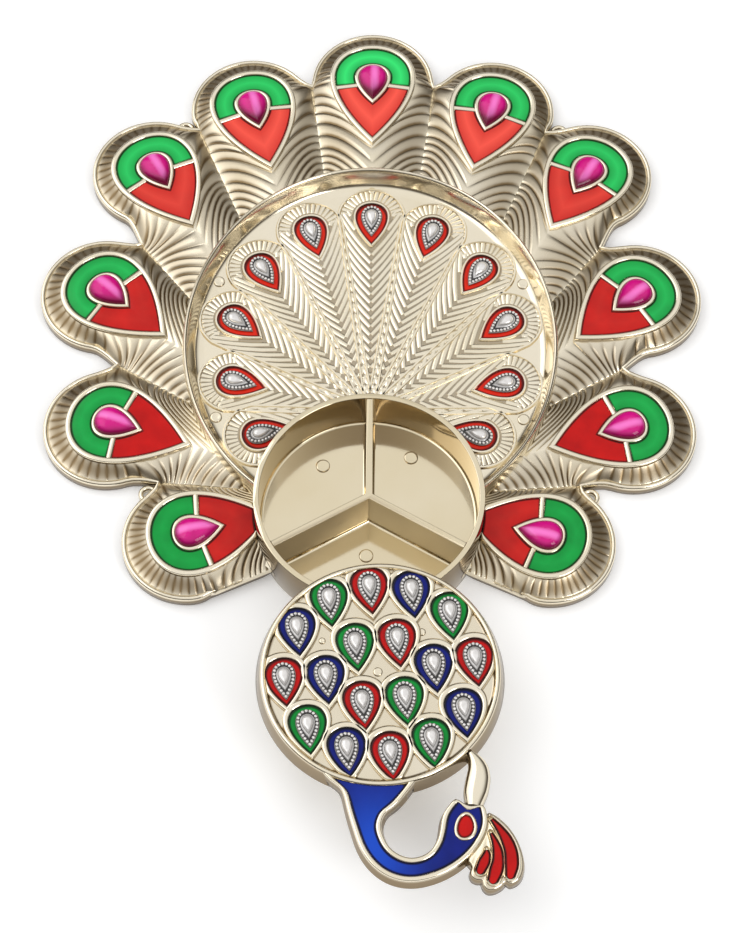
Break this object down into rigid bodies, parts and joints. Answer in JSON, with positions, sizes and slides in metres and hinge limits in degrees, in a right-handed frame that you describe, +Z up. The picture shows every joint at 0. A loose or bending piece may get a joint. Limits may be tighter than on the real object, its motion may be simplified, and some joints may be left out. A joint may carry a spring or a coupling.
{
  "type": "kumkum plate",
  "caption": "Peacock-shaped kumkum plate: a scalloped tail with a sunken tray, a divided powder bowl and a swivelling lid shaped as the bird's body, neck and head.",
  "frame": {"origin": "on the table under the middle of the bowl", "axes": "+X right, +Y from the bowl to the top of the tail, +Z up"},
  "size_m": [0.1696, 0.2467, 0.0204],
  "materials": {
    "gold_plating": "pale gold vacuum-metallised ABS, bright",
    "bowl_gold": "pale gold vacuum-metallised ABS, mirror bright",
    "green_enamel": "translucent lacquer",
    "red_enamel": "translucent lacquer",
    "blue_enamel": "translucent lacquer",
    "magenta_gem": "foil-backed acrylic",
    "silver_stone": "silver-foiled acrylic",
    "screw_steel": "zinc-plated steel"
  },
  "bodies": {
    "plate": {"tail_plate": "gold_plating", "kumkum_bowl": "bowl_gold", "petal_green_enamel_01": "green_enamel", "petal_green_enamel_02": "green_enamel", "petal_green_enamel_03": "green_enamel", "petal_green_enamel_04": "green_enamel", "petal_green_enamel_05": "green_enamel", "petal_green_enamel_06": "green_enamel", "petal_green_enamel_07": "green_enamel", "petal_green_enamel_08": "green_enamel", "petal_green_enamel_09": "green_enamel", "petal_green_enamel_10": "green_enamel", "petal_green_enamel_11": "green_enamel", "petal_red_enamel_01": "red_enamel", "petal_red_enamel_02": "red_enamel", "petal_red_enamel_03": "red_enamel", "petal_red_enamel_04": "red_enamel", "petal_red_enamel_05": "red_enamel", "petal_red_enamel_06": "red_enamel", "petal_red_enamel_07": "red_enamel", "petal_red_enamel_08": "red_enamel", "petal_red_enamel_09": "red_enamel", "petal_red_enamel_10": "red_enamel", "petal_red_enamel_11": "red_enamel", "petal_gem_01": "magenta_gem", "petal_gem_02": "magenta_gem", "petal_gem_03": "magenta_gem", "petal_gem_04": "magenta_gem", "petal_gem_05": "magenta_gem", "petal_gem_06": "magenta_gem", "petal_gem_07": "magenta_gem", "petal_gem_08": "magenta_gem", "petal_gem_09": "magenta_gem", "petal_gem_10": "magenta_gem", "petal_gem_11": "magenta_gem", "tray_enamel": "red_enamel", "tray_stone_01": "silver_stone", "tray_stone_02": "silver_stone", "tray_stone_03": "silver_stone", "tray_stone_04": "silver_stone", "tray_stone_05": "silver_stone", "tray_stone_06": "silver_stone", "tray_stone_07": "silver_stone", "tray_stone_08": "silver_stone", "tray_stone_09": "silver_stone", "tray_stone_10": "silver_stone", "tray_stone_11": "silver_stone"},
    "lid": {"peacock_lid": "gold_plating", "pivot_screw": "screw_steel", "pivot_washer": "screw_steel", "lid_red_enamel": "red_enamel", "lid_green_enamel": "green_enamel", "lid_blue_enamel": "blue_enamel", "lid_stones": "silver_stone", "neck_enamel": "blue_enamel", "eye_enamel": "red_enamel", "crest_enamel": "red_enamel"}
  },
  "joints": [
    {"name": "lid_swivel", "type": "hinge", "parent": "plate", "child": "lid", "pos_m": [0, -0.0242, 0.0143], "axis": [0, 0, 1], "range_deg": [-187, 173]}
  ]
}
